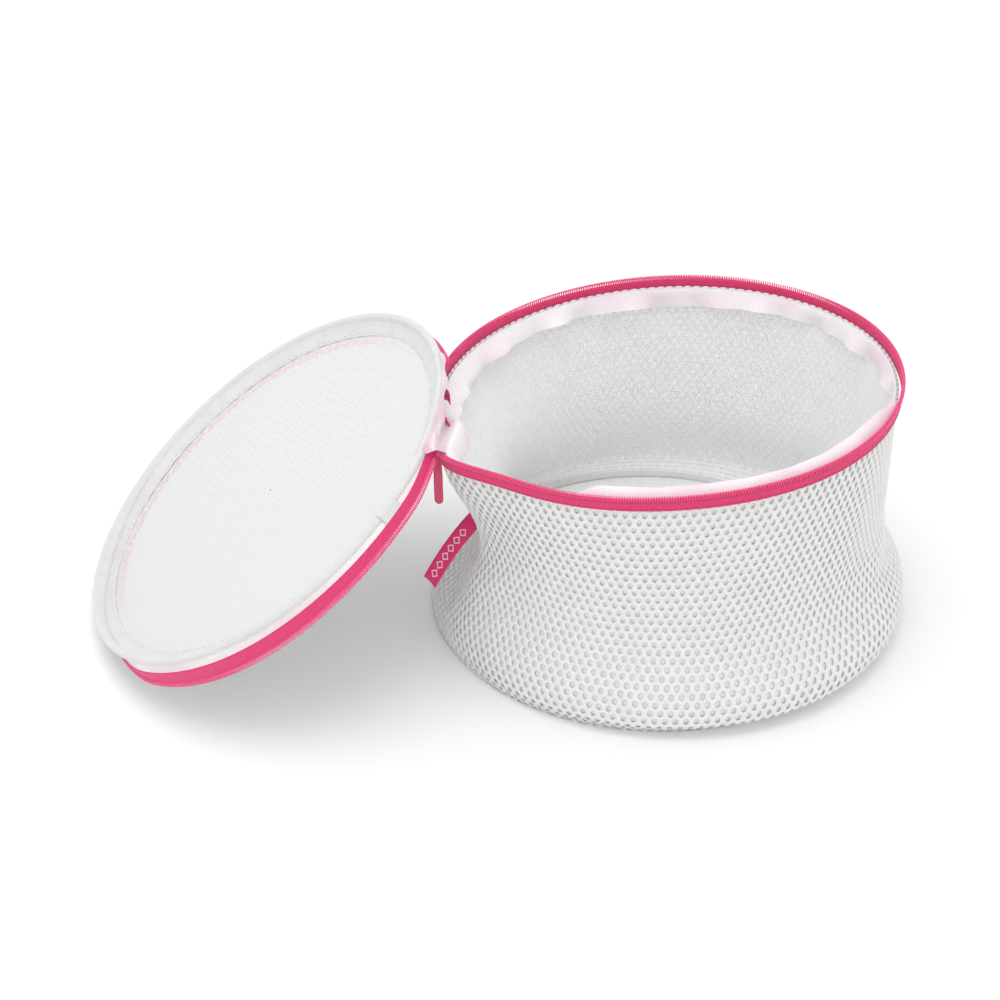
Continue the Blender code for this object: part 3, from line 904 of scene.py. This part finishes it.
def make_stitching():
    start, end = RIM_ZIP_FRONT + 0.01, ZIP_BACK - 0.01
    line = seam_line(RIM, RIM_R + 0.0006, -0.0030, start, end, flare=1.0)
    groove = stitches("coil_stitching", line, 300, 0.86, 0.00022, 0.0002)
    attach(dress(groove, "pink_thread", "pink_tape"), "root")
    line = seam_line(RIM, RIM_R + 0.0002, -0.0070, start, end, flare=1.0)
    seam = stitches("rim_seam_stitching", line, 250, 0.7, 0.0002, 0.0002)
    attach(dress(seam, "pink_thread", "white_thread", "rim_stitching"), "root")
    line = seam_line(RIM, RIM_R - 0.0024, -0.0074, 0.0, TURN, out=-1.0, flare=1.0)
    inner = stitches("rim_inner_stitching", line, 190, 0.40, 0.00012, 0.0002)
    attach(dress(inner, "white_thread", "white_thread"), "root")
    line = seam_line(LID, 0.1008, 0.0031, 0.0, TURN, out=-0.3, drop=-1.0)
    edge = stitches("lid_band_stitching", line, 165, 0.5, 0.0002, 0.0003)
    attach(dress(edge, "white_thread", "white_thread", "lid_stitching"), "lid")


def make_lid():
    outer = disc_lattice("lid_lattice", 0.1068, lid_place)
    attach(dress(outer, "lattice", "white_mesh", "lid_mesh"), "lid")
    inner = dress(lid_backing(), "lid_backing", "white_mesh")
    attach(inner, "lid")
    casing = dress(lid_casing(), "binding", "white_binding", "lid_casing")
    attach(casing, "lid")

    skirt = dress(lid_skirt(), "skirt", "sheer_facing", "lid_facing")
    tape = thicken(dress(lid_tape(), "tape", "pink_tape", "lid_tape"), TAPE_T)
    patch = thicken(dress(lid_join_patch(), "binding", "white_binding", "lid_join_tab"), 0.0003)
    for piece in (skirt, tape, patch):
        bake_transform(piece)
    coil = tube("lid_coil_teeth", lid_coil_path(), COIL_WIRE_R, sides=6)
    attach(dress(coil, "tooth", "pink_coil", "lid_coil"), "lid_zip")
    for piece in (tape, coil):
        piece.visible_diffuse = False  # or the tucked zip would cast a pink glow over the white floor


def pull_plate():
    """The zip pull: a narrow plate, round at its tip, with a shallow channel down each face."""
    joint = JOINTS["pull_swing"]
    across = np.array(Vector(joint["axis"]).normalized())
    down = np.array((0.0, 0.0, -1.0))
    down = down - across * down.dot(across)
    down /= np.linalg.norm(down)
    out = np.cross(across, down)
    steps = 0.5 - 0.5 * np.cos(np.linspace(0, math.pi, 60))
    along = -0.0005 + (PULL_LENGTH + 0.0005) * steps
    half = 0.0016 + 0.0006 * smooth_step(along, 0.0, 0.010)
    for end, round_r in ((PULL_LENGTH, 0.0022), (-0.0005, 0.0012)):
        into = np.clip(1 - np.abs(along - end) / round_r, 0, 1)
        half = half * np.sqrt(np.maximum(1 - into**2, 0.0004))
    turns = np.arange(36) * TURN / 36
    side, face = np.cos(turns), np.sin(turns)
    side = np.sign(side) * np.abs(side) ** 0.6
    face = np.sign(face) * np.abs(face) ** 0.35
    channel = 1 - 0.42 * (1 - smooth_step(np.abs(side), 0.30, 0.55))
    deep = smooth_step(along, 0.006, 0.009) * smooth_step(PULL_LENGTH - along, 0.0014, 0.0030)
    thick = 0.00062 * (1 + (channel[None] - 1) * deep[:, None]) * face[None]
    twist = math.radians(62) * smooth_step(along, 0.004, 0.030)[:, None, None]
    wide = half[:, None, None] * side[None, :, None]
    thick = thick[..., None]
    points = np.array(joint["pos_m"]) + down * along[:, None, None]
    points = points + across * (wide * np.cos(twist) - thick * np.sin(twist))
    points = points + out * (wide * np.sin(twist) + thick * np.cos(twist))
    return mesh_object("zip_pull", points.reshape(-1, 3), capped_faces(len(along), len(turns)))


def make_hardware():
    pull = dress(pull_plate(), "enamel", "pink_enamel", "pull_tab")
    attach(pull, "pull")
    for node, look in (
        ("end_stop_front", "metal"),
        ("end_stop_back", "metal"),
        ("lid_hoop", "metal"),
        ("hoop_joiner", "metal"),
        ("slider_front", "enamel"),
        ("slider_back", "enamel"),
        ("slider_bridge", "enamel"),
    ):
        data = frame["nodes"][node].data
        data.materials.clear()
        data.materials.append(LOOKS[look])


# Setting


def area_light(name, energy, size, at, target):
    data = bpy.data.lights.new(name, "AREA")
    data.energy = energy
    data.shape = "DISK"
    data.size = size
    ob = bpy.data.objects.new(name, data)
    ob.location = at
    ob.rotation_euler = (Vector(target) - Vector(at)).to_track_quat("-Z", "Y").to_euler()
    bpy.context.scene.collection.objects.link(ob)


def make_setting():
    floor = mesh_object("floor", [(-20, -20, 0), (20, -20, 0), (20, 20, 0), (-20, 20, 0)], [(0, 1, 2, 3)])
    floor.data.materials.append(LOOKS["floor"])

    world = bpy.data.worlds.new("studio")
    world.use_nodes = True
    world.node_tree.nodes["Background"].inputs["Color"].default_value = (1.0, 1.0, 1.0, 1.0)
    world.node_tree.nodes["Background"].inputs["Strength"].default_value = 0.97
    bpy.context.scene.world = world
    area_light("key", 6.0, 1.1, (-0.25, -0.2, 1.5), (-0.05, 0.0, 0.05))
    bpy.context.scene.view_settings.view_transform = "Standard"


def make_camera():
    """Above and in front, turned a little to the right, with a long lens."""
    elevation, azimuth, distance = math.radians(34.28), math.radians(2.15), 1.380
    target = Vector((-0.0773, 0.0, 0.0600))
    level = math.cos(elevation)
    ahead = Vector((math.sin(azimuth) * level, math.cos(azimuth) * level, -math.sin(elevation)))
    data = bpy.data.cameras.new("camera")
    data.lens = 99.46
    data.sensor_width = 36.0
    data.clip_start = 0.01
    camera = bpy.data.objects.new("camera", data)
    camera.location = target - ahead * distance
    camera.rotation_euler = ahead.to_track_quat("-Z", "Y").to_euler()
    bpy.context.scene.collection.objects.link(camera)
    bpy.context.scene.camera = camera


make_camera()
make_wall()
make_base()
make_rim()
make_hinge_and_label()
make_lid()
make_stitching()
make_hardware()
make_setting()
